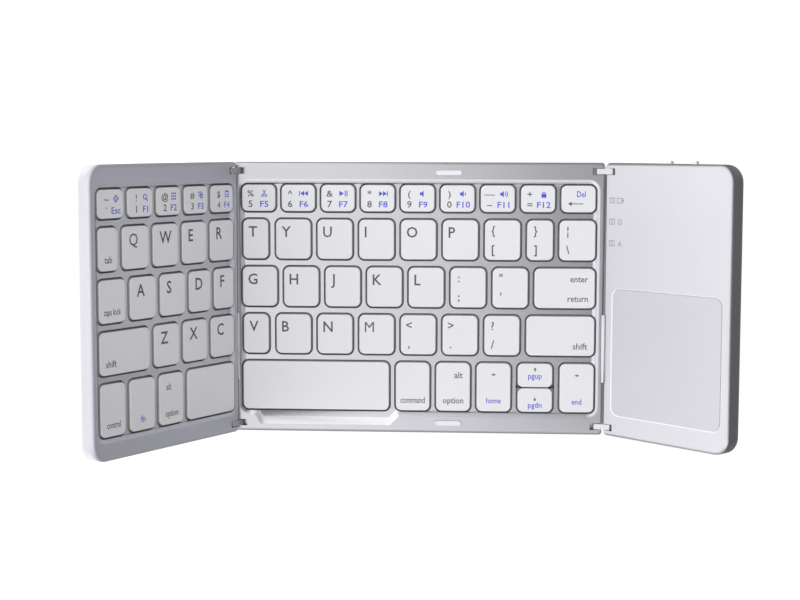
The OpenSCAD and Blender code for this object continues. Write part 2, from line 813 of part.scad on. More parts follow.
module left_number_keys() { in_left() keys(left_numbers); }
module tab_key() { in_left() keys(tab); }
module left_upper_keys() { in_left() keys(left_uppers); }
module caps_key() { in_left() keys(caps); }
module left_home_keys() { in_left() keys(left_homes); }
module left_shift_key() { in_left() keys(left_shift); }
module left_lower_keys() { in_left() keys(left_lowers); }
module control_key() { in_left() keys(control); }
module fn_key() { in_left() keys(fn_opening); }
module left_option_key() { in_left() keys(left_option); }
module left_space_key() { in_left() keys(left_space); }
module centre_number_keys() { in_centre() keys(centre_numbers); }
module backspace_key() { in_centre() keys(backspace); }
module t_key() { in_centre() keys(t_opening); }
module upper_keys() { in_centre() keys(uppers); }
module brace_key() { in_centre() keys(brace); }
module pipe_key() { in_centre() keys(pipe); }
module home_row_keys() { in_centre() keys(homes); }
module enter_key() { in_centre() keys(enter); }
module v_key() { in_centre() keys(v_opening); }
module lower_keys() { in_centre() keys(lowers); }
module right_shift_key() { in_centre() keys(right_shift); }
module right_space_key() { in_centre() keys(right_space); }
module command_key() { in_centre() keys(command); }
module right_option_key() { in_centre() keys(right_option); }
module arrow_left_key() { in_centre() keys(arrow_left); }
module arrow_up_key() { in_centre() arrow_half(true); }
module arrow_down_key() { in_centre() arrow_half(false); }
module arrow_right_key() { in_centre() keys(arrow_right); }

centre_base();
centre_deck();
centre_switch_sheet();
rim_pads();
centre_feet();
centre_screws();
left_hinge_links();
left_hinge_pins();
left_cable_cover();
left_ribbon();
right_hinge_links();
right_hinge_pins();
right_cable_cover();
right_ribbon();
left_base();
left_deck();
left_switch_sheet();
left_feet();
left_screws();
right_base();
right_deck();
touch_pad();
main_board();
battery();
charge_socket();
power_switch();
mode_switch();
indicator_windows();
right_feet();
right_screws();
left_number_keys();
tab_key();
left_upper_keys();
caps_key();
left_home_keys();
left_shift_key();
left_lower_keys();
control_key();
fn_key();
left_option_key();
left_space_key();
centre_number_keys();
backspace_key();
t_key();
upper_keys();
brace_key();
pipe_key();
home_row_keys();
enter_key();
v_key();
lower_keys();
right_shift_key();
right_space_key();
command_key();
right_option_key();
arrow_left_key();
arrow_up_key();
arrow_down_key();
arrow_right_key();
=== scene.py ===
import json
import math

import bmesh
import bpy
import numpy as np
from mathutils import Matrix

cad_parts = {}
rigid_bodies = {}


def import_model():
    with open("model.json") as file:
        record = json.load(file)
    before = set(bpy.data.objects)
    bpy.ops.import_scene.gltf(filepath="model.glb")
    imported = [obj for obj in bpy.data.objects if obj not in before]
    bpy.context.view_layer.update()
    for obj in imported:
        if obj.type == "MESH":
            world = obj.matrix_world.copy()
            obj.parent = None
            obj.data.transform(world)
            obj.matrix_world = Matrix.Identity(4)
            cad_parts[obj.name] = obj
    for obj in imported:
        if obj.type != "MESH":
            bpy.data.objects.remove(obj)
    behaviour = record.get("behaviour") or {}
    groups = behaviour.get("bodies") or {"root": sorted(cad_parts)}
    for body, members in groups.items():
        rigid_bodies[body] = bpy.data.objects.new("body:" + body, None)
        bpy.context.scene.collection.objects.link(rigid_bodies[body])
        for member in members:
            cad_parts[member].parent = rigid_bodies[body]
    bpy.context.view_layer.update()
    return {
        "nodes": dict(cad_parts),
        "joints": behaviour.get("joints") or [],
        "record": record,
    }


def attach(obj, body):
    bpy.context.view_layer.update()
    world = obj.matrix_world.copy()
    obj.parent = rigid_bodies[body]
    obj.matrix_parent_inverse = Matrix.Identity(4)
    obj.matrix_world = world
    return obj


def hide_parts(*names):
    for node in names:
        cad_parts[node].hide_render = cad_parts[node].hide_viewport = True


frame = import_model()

print("stage: frame loaded")

mm = 0.001

# Camera

cameraSettings = {
    "place": (33.36, 58.02, 600.75),  # mm
    "turn": (-5.629, 3.828, 0.0877),  # degrees about x, y and z, applied z first
    "lens": 74.93,
    "sensor": 36.0,
    "clip": (0.01, 20.0),
}


def makeCamera(s):
    data = bpy.data.cameras.new("camera")
    data.lens = s["lens"]
    data.sensor_width = s["sensor"]
    data.clip_start, data.clip_end = s["clip"]
    camera = bpy.data.objects.new("camera", data)
    bpy.context.scene.collection.objects.link(camera)
    camera.location = [v * mm for v in s["place"]]
    camera.rotation_mode = "ZXY"
    camera.rotation_euler = [math.radians(a) for a in s["turn"]]
    bpy.context.scene.camera = camera


makeCamera(cameraSettings)

# Light and stage

lightSettings = {
    "leftLamp": {"place": (-0.85, 0.05, 0.5), "size": (0.9, 0.9), "watts": 7.5},
    "topLamp": {"place": (-0.1, 0.5, 0.95), "size": (0.7, 0.5), "watts": 4.0},
    "target": (0.0, 0.0, 0.02),
    "worldSeen": 1.0,  # strength that the camera and reflections meet
    "worldDiffuse": 0.45,  # strength that diffuse rays meet
    "floorSize": 6.0,
    "floorWhite": 0.8,
    "floorColour": 0.42,
    "shadeReach": 0.012,  # how far the floor looks for the object above it
    "shadeSamples": 8,
    "shadeClosed": 0.22,
    "shadeOpen": 0.5,
}


# A level rectangle's corners, walked anticlockwise from above
def levelCorners(x0, x1, y0, y1, z):
    return (x0, y0, z), (x1, y0, z), (x1, y1, z), (x0, y1, z)


floorCardZ = 0.0003

# Studio cards that only reflections see: corners, and how bright each is
cardSettings = {
    "rightCard": {"corners": ((0.22, -0.9, 0.0), (0.22, 0.9, 0.0), (0.5, 0.9, 0.8), (0.5, -0.9, 0.8)),
                  "strength": 0.04},
    "topCard": {"corners": levelCorners(0.02, 0.5, -0.25, 0.9, 0.8), "strength": 0.12},
    "backCard": {"corners": ((-0.05, 0.7, 0.0), (-0.05, 0.7, 0.8), (0.5, 0.7, 0.8), (0.5, 0.7, 0.0)),
                 "strength": 0.2},
    "frontCard": {"corners": ((-0.6, -0.9, 0.7), (0.02, -0.9, 0.7), (0.02, -0.35, 1.1), (-0.6, -0.35, 1.1)),
                  "strength": 1.35},
    "frontLowCard": {"corners": ((-0.25, -0.5, 0.0), (0.25, -0.5, 0.0), (0.25, -0.8, 0.69),
                                 (-0.25, -0.8, 0.69)),
                     "strength": 0.5},
    "frontFloorCard": {"corners": levelCorners(-0.11, 0.12, -0.5, -0.052, floorCardZ), "strength": 0.42},
    "backFloorCard": {"corners": levelCorners(-0.11, 0.12, 0.052, 0.5, floorCardZ), "strength": 0.15},
    "rightFloorCard": {"corners": levelCorners(0.12, 0.22, -0.5, 0.5, floorCardZ), "strength": 0.12},
}


def makeMaterial(name):
    material = bpy.data.materials.new(name)
    material.use_nodes = True
    material.node_tree.nodes.clear()
    return material, material.node_tree.nodes, material.node_tree.links


def aimLamp(name, s, target):
    data = bpy.data.lights.new(name, "AREA")
    data.shape = "RECTANGLE"
    data.size, data.size_y = s["size"]
    data.energy = s["watts"]
    lamp = bpy.data.objects.new(name, data)
    bpy.context.scene.collection.objects.link(lamp)
    lamp.location = s["place"]
    away = lamp.location - type(lamp.location)(target)
    lamp.rotation_euler = away.to_track_quat("Z", "Y").to_euler()
    lamp.visible_camera = False
    lamp.visible_glossy = False


def planeMesh(name, corners):
    mesh = bpy.data.meshes.new(name)
    mesh.from_pydata(corners, [], [(0, 1, 2, 3)])
    piece = bpy.data.objects.new(name, mesh)
    bpy.context.scene.collection.objects.link(piece)
    return piece


# A math node's output. Each value is a number or another node's output
def calculate(nodes, links, operation, *values):
    node = nodes.new("ShaderNodeMath")
    node.operation = operation
    for socket, value in zip(node.inputs, values):
        if isinstance(value, (int, float)):
            socket.default_value = value
        else:
            links.new(value, socket)
    return node.outputs[0]


# The largest of Light Path's camera, glossy and transmission factors. A share, if there is one,
# multiplies the camera's
def seenRays(nodes, links, share=None):
    path = nodes.new("ShaderNodeLightPath")
    camera = path.outputs["Is Camera Ray"]
    if share:
        camera = calculate(nodes, links, "MULTIPLY", camera, share)
    mirrored = calculate(nodes, links, "MAXIMUM", camera, path.outputs["Is Glossy Ray"])
    return calculate(nodes, links, "MAXIMUM", mirrored, path.outputs["Is Transmission Ray"])


# Painted shade on the floor's glow: how open the floor is within shadeReach, 0 to 1, is spread so that
# shadeClosed gives 0 and shadeOpen gives 1, and the glow that the camera sees is scaled by it: the camera
# then sees no white through a fold
def openFloor(s, nodes, links):
    near = nodes.new("ShaderNodeAmbientOcclusion")
    near.samples = s["shadeSamples"]
    near.inputs["Distance"].default_value = s["shadeReach"]
    spread = nodes.new("ShaderNodeMapRange")
    spread.inputs["From Min"].default_value = s["shadeClosed"]
    spread.inputs["From Max"].default_value = s["shadeOpen"]
    links.new(near.outputs["AO"], spread.inputs["Value"])
    return spread.outputs["Result"]


def mixShaders(nodes, links, factor, first, second):
    mix = nodes.new("ShaderNodeMixShader")
    for socket, value in zip(mix.inputs, (factor, first, second)):
        links.new(value, socket)
    return mix.outputs[0]


# White world: full strength where the camera or a reflection looks, and less for diffuse rays
def makeWorld(s):
    world = bpy.data.worlds.new("studio")
    bpy.context.scene.world = world
    world.use_nodes = True
    nodes, links = world.node_tree.nodes, world.node_tree.links
    nodes.clear()
    whites = []
    for strength in (s["worldDiffuse"], s["worldSeen"]):
        white = nodes.new("ShaderNodeBackground")
        white.inputs["Color"].default_value = (1, 1, 1, 1)
        white.inputs["Strength"].default_value = strength
        whites.append(white.outputs[0])
    out = nodes.new("ShaderNodeOutputWorld")
    links.new(mixShaders(nodes, links, seenRays(nodes, links), *whites), out.inputs[0])


# White floor that takes the object's shadow. From below it lets the view through
def makeFloor(s):
    half = s["floorSize"] / 2
    floor = planeMesh("floor", levelCorners(-half, half, -half, half, 0))
    material, nodes, links = makeMaterial("floorWhite")
    diffuse = nodes.new("ShaderNodeBsdfDiffuse")
    diffuse.inputs["Color"].default_value = (*[s["floorColour"]] * 3, 1)
    glow = nodes.new("ShaderNodeEmission")
    seen = seenRays(nodes, links, openFloor(s, nodes, links))
    links.new(calculate(nodes, links, "MULTIPLY", seen, s["floorWhite"]), glow.inputs["Strength"])
    both = nodes.new("ShaderNodeAddShader")
    links.new(glow.outputs[0], both.inputs[0])
    links.new(diffuse.outputs[0], both.inputs[1])
    geometry = nodes.new("ShaderNodeNewGeometry")
    clear = nodes.new("ShaderNodeBsdfTransparent")
    out = nodes.new("ShaderNodeOutputMaterial")
    side = mixShaders(nodes, links, geometry.outputs["Backfacing"], both.outputs[0], clear.outputs[0])
    links.new(side, out.inputs[0])
    floor.data.materials.append(material)


def makeCard(name, s):
    card = planeMesh(name, s["corners"])
    material, nodes, links = makeMaterial(name)
    glow = nodes.new("ShaderNodeEmission")
    glow.inputs["Strength"].default_value = s["strength"]
    out = nodes.new("ShaderNodeOutputMaterial")
    links.new(glow.outputs[0], out.inputs[0])
    card.data.materials.append(material)
    card.visible_camera = False
    card.visible_diffuse = False
    card.visible_shadow = False
    card.visible_transmission = False


for name in ("leftLamp", "topLamp"):
    aimLamp(name, lightSettings[name], lightSettings["target"])
makeWorld(lightSettings)
makeFloor(lightSettings)
bpy.context.scene.view_settings.view_transform = "Standard"
for name, card in cardSettings.items():
    makeCard(name, card)
print("stage: camera and light")

# Materials


grainSettings = {
    "scale": 2500.0,
    "contrast": 0.06,
    "fineDetail": 2.0,
    "broadScale": 60.0,
    "broadDetail": 3.0,
    "bumpDistance": 0.02 * mm,
}


# Fine grain: the sum of two noises at different scales, less 1, times the contrast, is put out as a
# factor round 1, and the fine noise as a height
def makeGrainGroup(s):
    group = bpy.data.node_groups.new("fineGrain", "ShaderNodeTree")
    for name, value in (("Scale", s["scale"]), ("Contrast", s["contrast"])):
        socket = group.interface.new_socket(name, in_out="INPUT", socket_type="NodeSocketFloat")
        socket.default_value = value
    for name in ("Factor", "Height"):
        group.interface.new_socket(name, in_out="OUTPUT", socket_type="NodeSocketFloat")
    nodes, links = group.nodes, group.links
    entry = nodes.new("NodeGroupInput")
    out = nodes.new("NodeGroupOutput")
    coordinates = nodes.new("ShaderNodeTexCoord")
    fine = nodes.new("ShaderNodeTexNoise")
    broad = nodes.new("ShaderNodeTexNoise")
    broad.inputs["Scale"].default_value = s["broadScale"]
    links.new(entry.outputs["Scale"], fine.inputs["Scale"])
    for noise, detail in ((fine, s["fineDetail"]), (broad, s["broadDetail"])):
        noise.inputs["Detail"].default_value = detail
        links.new(coordinates.outputs["Object"], noise.inputs["Vector"])
    total = calculate(nodes, links, "ADD", fine.outputs["Fac"], broad.outputs["Fac"])
    centred = calculate(nodes, links, "SUBTRACT", total, 1.0)
    factor = calculate(nodes, links, "MULTIPLY_ADD", centred, entry.outputs["Contrast"], 1.0)
    links.new(factor, out.inputs["Factor"])
    links.new(fine.outputs["Fac"], out.inputs["Height"])
    return group


grainGroup = makeGrainGroup(grainSettings)

# Finishes under a slot's name are that slot's, and the others belong to parts of a piece; several of
# these carry painted light or shade
finishes = {
    "shell": {"colour": (0.73, 0.725, 0.775), "metallic": 0.82, "roughness": 0.3, "grain": 3200,
              "contrast": 0.07, "bump": 0.05},
    "tray": {"colour": (0.70, 0.70, 0.74), "metallic": 0.8, "roughness": 0.36, "grain": 3200,
             "contrast": 0.09, "bump": 0.07},
    # painted light: a lighter, shinier copy of the tray paint for the middle panel
    "centreTrayPaintedLight": {"colour": (0.725, 0.725, 0.765), "metallic": 0.85, "roughness": 0.26, "grain": 3200,
                    "contrast": 0.08, "bump": 0.06},
    # painted light: a less metallic copy of the shell paint, which gives the right panel's outer face an
    # even brightness in place of its reflections
    "face": {"colour": (0.705, 0.69, 0.735), "metallic": 0.25, "roughness": 0.4, "grain": 3200,
             "contrast": 0.05, "bump": 0.04},
    # painted shade: near black on the panels' walls in the end links' slots, where they fall into shade
    "slotPaintedShade": {"colour": (0.012, 0.012, 0.014), "metallic": 0.0, "roughness": 0.7, "grain": 1500,
                   "contrast": 0.2, "bump": 0.05},
    # painted shade: a darker grey on the walls that face a fold and on the links' spine
    "foldShade": {"colour": (0.42, 0.42, 0.46), "metallic": 0.2, "roughness": 0.5, "grain": 2600,
                   "contrast": 0.1, "bump": 0.04},
    "shade": {"colour": (0.30, 0.30, 0.32), "metallic": 0.0, "roughness": 0.6, "grain": 1500,
              "contrast": 0.2, "bump": 0.05},
    "keycap": {"colour": (0.875, 0.875, 0.90), "metallic": 0.1, "roughness": 0.36, "grain": 4200,
               "contrast": 0.03, "bump": 0.03},
    # painted shade: the keycap plastic, darkened where a cap's side goes down into the gap between keys
    "keySidePaintedShade": {"colour": (0.42, 0.42, 0.44), "metallic": 0.0, "roughness": 0.5, "grain": 4200,
                 "contrast": 0.1, "bump": 0.05},
    "touch_surface": {"colour": (0.625, 0.615, 0.67), "metallic": 0.25, "roughness": 0.45, "grain": 5200,
                      "contrast": 0.05, "bump": 0.08},
    # painted highlight: a near-white copy of the tray paint on the thumb relief's slopes that face the light
    "relief": {"colour": (0.97, 0.96, 0.99), "metallic": 0.7, "roughness": 0.3, "grain": 3200,
               "contrast": 0.04, "bump": 0.03},
    # painted shade: a duller copy of the tray paint, which gives the slope beside a fold an even grey in
    # place of its bright reflection
    "foldRimPaintedShade": {"colour": (0.76, 0.76, 0.80), "metallic": 0.2, "roughness": 0.42, "grain": 3200,
                 "contrast": 0.05, "bump": 0.04},
    # painted shade: a darker copy of the shell paint on the middle panel's front edge
    "frontEdgePaintedShade": {"colour": (0.58, 0.57, 0.61), "metallic": 0.8, "roughness": 0.34, "grain": 3200,
                   "contrast": 0.05, "bump": 0.04},
    # painted shade: a darker copy of the shell paint for the left panel's rim, which faces away from the
    # light
    "leftShellPaintedShade": {"colour": (0.58, 0.585, 0.65), "metallic": 0.35, "roughness": 0.36, "grain": 3200,
                   "contrast": 0.07, "bump": 0.05},
    # painted highlight: a near-white matte copy on the lips of the right panel's openings
    "rimLinePaintedHighlight": {"colour": (0.93, 0.93, 0.95), "metallic": 0.0, "roughness": 0.3, "grain": 3000,
                 "contrast": 0.02, "bump": 0.02},
    "rim_pad_rubber": {"colour": (0.88, 0.87, 0.93), "metallic": 0.0, "roughness": 0.55, "grain": 2600,
                       "contrast": 0.04, "bump": 0.1},
    "foot_rubber": {"colour": (0.035, 0.035, 0.04), "metallic": 0.0, "roughness": 0.7, "grain": 1800,
                    "contrast": 0.3, "bump": 0.25},
    "steel": {"colour": (0.66, 0.66, 0.68), "metallic": 1.0, "roughness": 0.28, "grain": 1500,
              "contrast": 0.06, "bump": 0.02},
    "link_metal": {"colour": (0.76, 0.76, 0.78), "metallic": 0.7, "roughness": 0.3, "grain": 1800,
                   "contrast": 0.05, "bump": 0.03},
    "cover_plastic": {"colour": (0.78, 0.78, 0.82), "metallic": 0.4, "roughness": 0.36, "grain": 3200,
                      "contrast": 0.06, "bump": 0.05},
    "switch_plate": {"colour": (0.03, 0.03, 0.033), "metallic": 0.2, "roughness": 0.55, "grain": 900,
                     "contrast": 0.3, "bump": 0.1},
    "ribbon_film": {"colour": (0.35, 0.14, 0.03), "metallic": 0.0, "roughness": 0.25, "grain": 900,
                    "contrast": 0.2, "bump": 0.02},
    "circuit_board": {"colour": (0.02, 0.14, 0.07), "metallic": 0.0, "roughness": 0.35, "grain": 700,
                      "contrast": 0.4, "bump": 0.1},
    "battery_foil": {"colour": (0.5, 0.5, 0.52), "metallic": 0.8, "roughness": 0.3, "grain": 500,
                     "contrast": 0.2, "bump": 0.15},
    "slider_plastic": {"colour": (0.87, 0.87, 0.89), "metallic": 0.0, "roughness": 0.4, "grain": 3000,
                       "contrast": 0.03, "bump": 0.05},
    "window_plastic": {"colour": (0.55, 0.55, 0.58), "metallic": 0.0, "roughness": 0.2, "grain": 2000,
                       "contrast": 0.05, "bump": 0.02},
    "pale_ink": {"colour": (0.36, 0.36, 0.40), "metallic": 0.0, "roughness": 0.6, "grain": 5000,
                 "contrast": 0.1, "bump": 0.02},
    "dark_ink": {"colour": (0.11, 0.11, 0.12), "metallic": 0.0, "roughness": 0.6, "grain": 5000,
                 "contrast": 0.1, "bump": 0.02},
    "blue_ink": {"colour": (0.10, 0.10, 0.72), "metallic": 0.0, "roughness": 0.6, "grain": 5000,
                 "contrast": 0.1, "bump": 0.02},
}


def makeFinish(name, s):
    material, nodes, links = makeMaterial(name)
    shader = nodes.new("ShaderNodeBsdfPrincipled")
    shader.inputs["Metallic"].default_value = s["metallic"]
    out = nodes.new("ShaderNodeOutputMaterial")
    grain = nodes.new("ShaderNodeGroup")
    grain.node_tree = grainGroup
    grain.inputs["Scale"].default_value = s["grain"]
    grain.inputs["Contrast"].default_value = s["contrast"]
    tint = nodes.new("ShaderNodeVectorMath")
    tint.operation = "SCALE"
    tint.inputs[0].default_value = s["colour"]
    rough = calculate(nodes, links, "MULTIPLY", grain.outputs["Factor"], s["roughness"])
    bump = nodes.new("ShaderNodeBump")
    bump.inputs["Strength"].default_value = s["bump"]
    bump.inputs["Distance"].default_value = grainSettings["bumpDistance"]
    links.new(grain.outputs["Factor"], tint.inputs["Scale"])
    links.new(tint.outputs[0], shader.inputs["Base Color"])
    links.new(rough, shader.inputs["Roughness"])
    links.new(grain.outputs["Height"], bump.inputs["Height"])
    links.new(bump.outputs[0], shader.inputs["Normal"])
    links.new(shader.outputs[0], out.inputs[0])
    return material


materials = {name: makeFinish(name, s) for name, s in finishes.items()}
slotOf = {part["node"]: part["material_slot"] for part in frame["record"]["subparts"]}
bodyOf = {node: body for body, nodes in frame["record"]["behaviour"]["bodies"].items() for node in nodes}


def paint(piece, *choices):
    piece.data.materials.clear()
    for material in choices:
        piece.data.materials.append(material)


for node, piece in frame["nodes"].items():
    paint(piece, materials[slotOf[node]])
print("stage: materials")

# Panels' own directions


# A panel's right, back and outward directions as rows; outward is against its keys' travel
def panelAxes(outward):
    out = np.array(outward, float) / np.linalg.norm(outward)
    back = np.array((0.0, 1.0, 0.0))
    return np.array([np.cross(back, out), back, out])


pressAxis = {joint["child"]: joint["axis"] for joint in frame["joints"] if joint["name"].endswith("_press")}
slideAxis = next(joint["axis"] for joint in frame["joints"] if joint["name"] == "power_switch_slide")
axesOf = {node: panelAxes([-v for v in axis]) for node, axis in pressAxis.items()}
rightAxes = panelAxes(np.cross(slideAxis, (0, 1, 0)))
leftKeys = {joint["child"] for joint in frame["joints"] if joint["parent"] == "left_flap"}


# One value of every item of a mesh collection as an array, with a row for each item where it is a vector
def readArray(items, name, width=1, kind=float):
    values = np.zeros(len(items) * width, kind)
    items.foreach_get(name, values)
    return values.reshape(-1, width) if width > 1 else values


# A node's triangles, each as three corners in the panel's own directions
def nodeTriangles(node, axes):
    mesh = frame["nodes"][node].data
    mesh.calc_loop_triangles()
    corners = readArray(mesh.loop_triangles, "vertices", 3, int)
    return (readArray(mesh.vertices, "co", 3) @ axes.T)[corners]


topSettings = {
    "flat": 0.001 * mm,  # a cap's flat top lies within this of its highest point
    "gap": 0.2 * mm,  # a gap between tops is wider than this
}


# The flat top of each cap of a node, as x0, x1, y0, y1: the top's triangles are merged where they
# overlap along the row
def capTops(node, s):
    triangles = nodeTriangles(node, axesOf[node])
    top = triangles[:, :, 2].max()
    flat = triangles[(triangles[:, :, 2] > top - s["flat"]).all(axis=1)]
    low = flat[:, :, 0].min(axis=1)
    order = np.argsort(low)
    low = low[order]
    high = np.maximum.accumulate(flat[:, :, 0].max(axis=1)[order])
    first = np.concatenate([[True], low[1:] > high[:-1] + s["gap"]])
    starts = np.flatnonzero(first)
    ends = np.append(starts[1:], len(low)) - 1
    y = flat[:, :, 1]
    return [(low[a], high[b], y.min(), y.max()) for a, b in zip(starts, ends)], top


# A mesh object from points and faces, which rides on a body
def newPiece(name, vertices, faces, body, material, smooth=True):
    mesh = bpy.data.meshes.new(name)
    mesh.from_pydata(vertices.tolist(), [], faces)
    mesh.update()
    if smooth:
        mesh.polygons.foreach_set("use_smooth", [True] * len(mesh.polygons))
    piece = bpy.data.objects.new(name, mesh)
    bpy.context.scene.collection.objects.link(piece)
    paint(piece, material)
    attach(piece, body)
    return piece


# Shells: merged copies of the CAD panels, so that their rounds and the tray's slopes shade as curves

shellSettings = {
    "merge": 0.001 * mm,
    "sharpAngle": 32.0,  # degrees between faces that keep a crisp edge
    "flatFacing": 0.9999,  # a flat face is this square to one of the panel's directions
    "wallFacing": 0.12,  # a wall's face is within this of square to the panel
    "faceFacing": 0.97,  # the outer face of the touch-pad panel faces outwards more than this
    "faceDepth": 0.05 * mm,
    "lipFacing": (0.5, 0.9),  # the lip of that face's openings faces outwards between these
    "lipDepth": 0.45 * mm,
    "rimDepth": 0.3 * mm,  # a face this far under the rim is the tray's
    "wallDepth": 4.2 * mm,
    "slotPlace": 45.6 * mm,  # of the end links' slots, from the middle of the panel
    "slotHalf": 1.2 * mm,
    "slotLength": 4.3 * mm,
    "slotDepth": 0.3 * mm,
    "foldDepth": 0.62 * mm,  # how far from a fold's edge its walls reach
    "foldFacing": 0.8,
    "besideDepth": 3.4 * mm,  # the tray's slope beside a fold lies within this of the fold's edge
    "spineHalf": 44.4 * mm,  # the links' spine lies within this of the middle
    "margin": 2.2 * mm,  # the shell's own edges, where no opening lies
    "reliefX": (-60.2 * mm, -4.2 * mm),  # the thumb relief in front of the long key
    "reliefY": (-46.2 * mm, -40.35 * mm),
    "reliefDepth": 0.01 * mm,
    "reliefFacing": 0.5,
    "reliefTilt": 0.08,
    "frontDepth": 1.6 * mm,
}

panelOf = {
    "centre": np.eye(3),
    "left": axesOf["tab_key"],
    "right": rightAxes,
}


# What a face can be: the node's own, the tray under the rim or the flat outer face, a wall of an
# opening, the slot of an end link, a wall that faces a fold, a slope of the thumb relief, the tray's
# slope beside a fold, and the front edge of the middle panel. Past the first two, the zones carry painted
# shade: in the openings, the slots, on the fold walls and the links' spine, beside a fold and on the
# front edge; the lips of the outer face's openings and the relief's slopes carry a painted highlight
zoneNames = ("own", "flat", "opening", "slot", "fold", "relief", "beside", "front")
zoneOf = {name: k for k, name in enumerate(zoneNames)}


# The zone of each face, from where its middle lies and which way it faces, in the panel's own
# directions; a later rule overrules an earlier one. The second result marks the thumb relief
def shellZones(mesh, axes, s, kind, folds):
    normals = readArray(mesh.polygons, "normal", 3) @ axes.T
    centres = readArray(mesh.polygons, "center", 3) @ axes.T
    points = readArray(mesh.vertices, "co", 3) @ axes.T
    low, high = points.min(axis=0), points.max(axis=0)
    depth = high[2] - centres[:, 2]
    out = normals[:, 2]
    wall = np.abs(out) < s["wallFacing"]
    inside = (centres[:, :2] > low[:2] + s["margin"]) & (centres[:, :2] < high[:2] - s["margin"])
    inside = inside.all(axis=1)
    zones = np.zeros(len(mesh.polygons), int)
    if kind == "link":
        # The links' spine, down in the fold, takes the painted fold shade
        zones[np.abs(centres[:, 1]) < s["spineHalf"]] = zoneOf["fold"]
    elif kind == "face":
        zones[(out > s["faceFacing"]) & (depth < s["faceDepth"])] = zoneOf["flat"]
        lip = (out > s["lipFacing"][0]) & (out < s["lipFacing"][1]) & (depth < s["lipDepth"])
        zones[inside & lip] = zoneOf["opening"]
    elif kind:
        zones[~wall & inside & (depth > s["rimDepth"])] = zoneOf["flat"]
        zones[wall & inside & (depth < s["wallDepth"])] = zoneOf["opening"]
    relief = (kind == "centreTrayPaintedLight") & (out > s["reliefFacing"]) & (depth > s["reliefDepth"])
    for axis, span in ((0, s["reliefX"]), (1, s["reliefY"])):
        relief &= (centres[:, axis] > span[0]) & (centres[:, axis] < span[1])
    # The relief's slopes that face back or to the left, towards the light, take a painted highlight
    tilted = (normals[:, 1] > s["reliefTilt"]) | (normals[:, 0] < -s["reliefTilt"])
    zones[relief & tilted] = zoneOf["relief"]
    if len(folds) == 2:
        front = (centres[:, 1] < low[1] + s["frontDepth"]) & (normals[:, 1] < -s["reliefTilt"])
        zones[front] = zoneOf["front"]
    for side in folds:
        fromEdge = centres[:, 0] - low[0] if side < 0 else high[0] - centres[:, 0]
        zones[(fromEdge < s["foldDepth"]) & (out < s["foldFacing"])] = zoneOf["fold"]
        slot = np.abs(np.abs(centres[:, 1]) - s["slotPlace"]) < s["slotHalf"]
        slot &= (fromEdge < s["slotLength"]) & ((depth > s["slotDepth"]) | wall)
        zones[slot] = zoneOf["slot"]
        if kind != "face":
            beside = (fromEdge > s["foldDepth"]) & (fromEdge < s["besideDepth"])
            zones[beside & (zones == zoneOf["flat"])] = zoneOf["beside"]
    return zones, relief


# Edges between a marked face and an unmarked one stay crisp
def sharpBorder(mesh, marked):
    edgeOfLoop = readArray(mesh.loops, "edge_index", kind=int)
    loops = readArray(mesh.polygons, "loop_total", kind=int)
    inside = np.bincount(edgeOfLoop, np.repeat(marked, loops), len(mesh.edges))
    sharp = readArray(mesh.edges, "use_edge_sharp", kind=bool)
    mesh.edges.foreach_set("use_edge_sharp", sharp | (inside == 1))


# Shading normals: a round keeps its smooth ones, but where it meets a flat face it takes the flat
# face's direction, so that flat faces shade as flat. Marked faces keep their own
def setNormals(mesh, axes, s, marked):
    faceOfLoop = np.repeat(np.arange(len(mesh.polygons)), readArray(mesh.polygons, "loop_total", kind=int))
    vertexOfLoop = readArray(mesh.loops, "vertex_index", kind=int)
    corners = readArray(mesh.corner_normals, "vector", 3)
    directions = np.vstack([np.eye(3), -np.eye(3)])
    facing = readArray(mesh.polygons, "normal", 3) @ axes.T @ directions.T
    touched = np.zeros((len(mesh.vertices), len(directions)), bool)
    np.logical_or.at(touched, vertexOfLoop, (facing > s["flatFacing"])[faceOfLoop])
    near = touched[vertexOfLoop] & (facing > math.cos(math.radians(s["sharpAngle"])))[faceOfLoop]
    near &= ~marked[faceOfLoop, None]
    flat = (directions @ axes)[near.argmax(axis=1)]
    corners = np.where(near.any(axis=1)[:, None], flat, corners)
    mesh.normals_split_custom_set(corners.tolist())


# A merged copy of a node. Folds names its sides that face a fold, -1 left and 1 right; kind is the
# finish under the rim, or what sort of piece it is; main is a finish in place of the slot's own
def smoothCopy(node, s, folds=(), kind=None, main=None):
    mesh = frame["nodes"][node].data.copy()
    mesh.name = node + "_skin"
    work = bmesh.new()
    work.from_mesh(mesh)
    bmesh.ops.remove_doubles(work, verts=work.verts, dist=s["merge"])
    work.to_mesh(mesh)
    work.free()
    mesh.polygons.foreach_set("use_smooth", [True] * len(mesh.polygons))
    mesh.set_sharp_from_angle(angle=math.radians(s["sharpAngle"]))
    piece = bpy.data.objects.new(node + "_skin", mesh)
    bpy.context.scene.collection.objects.link(piece)
    finishOf = {
        "own": main or slotOf[node],
        "flat": kind if kind in finishes else "tray",
        "opening": "rimLinePaintedHighlight" if kind == "face" else "shade",
        "slot": "slotPaintedShade",
        "fold": "foldShade",
        "relief": "relief",
        "beside": "foldRimPaintedShade",
        "front": "frontEdgePaintedShade",
    }
    paint(piece, *[materials[finishOf[zone]] for zone in zoneNames])
    axes = panelOf[node.split("_")[0]]
    zones, relief = shellZones(mesh, axes, s, kind, folds)
    sharpBorder(mesh, relief)
    mesh.polygons.foreach_set("material_index", zones.tolist())
    setNormals(mesh, axes, s, relief)
    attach(piece, bodyOf[node])
    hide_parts(node)


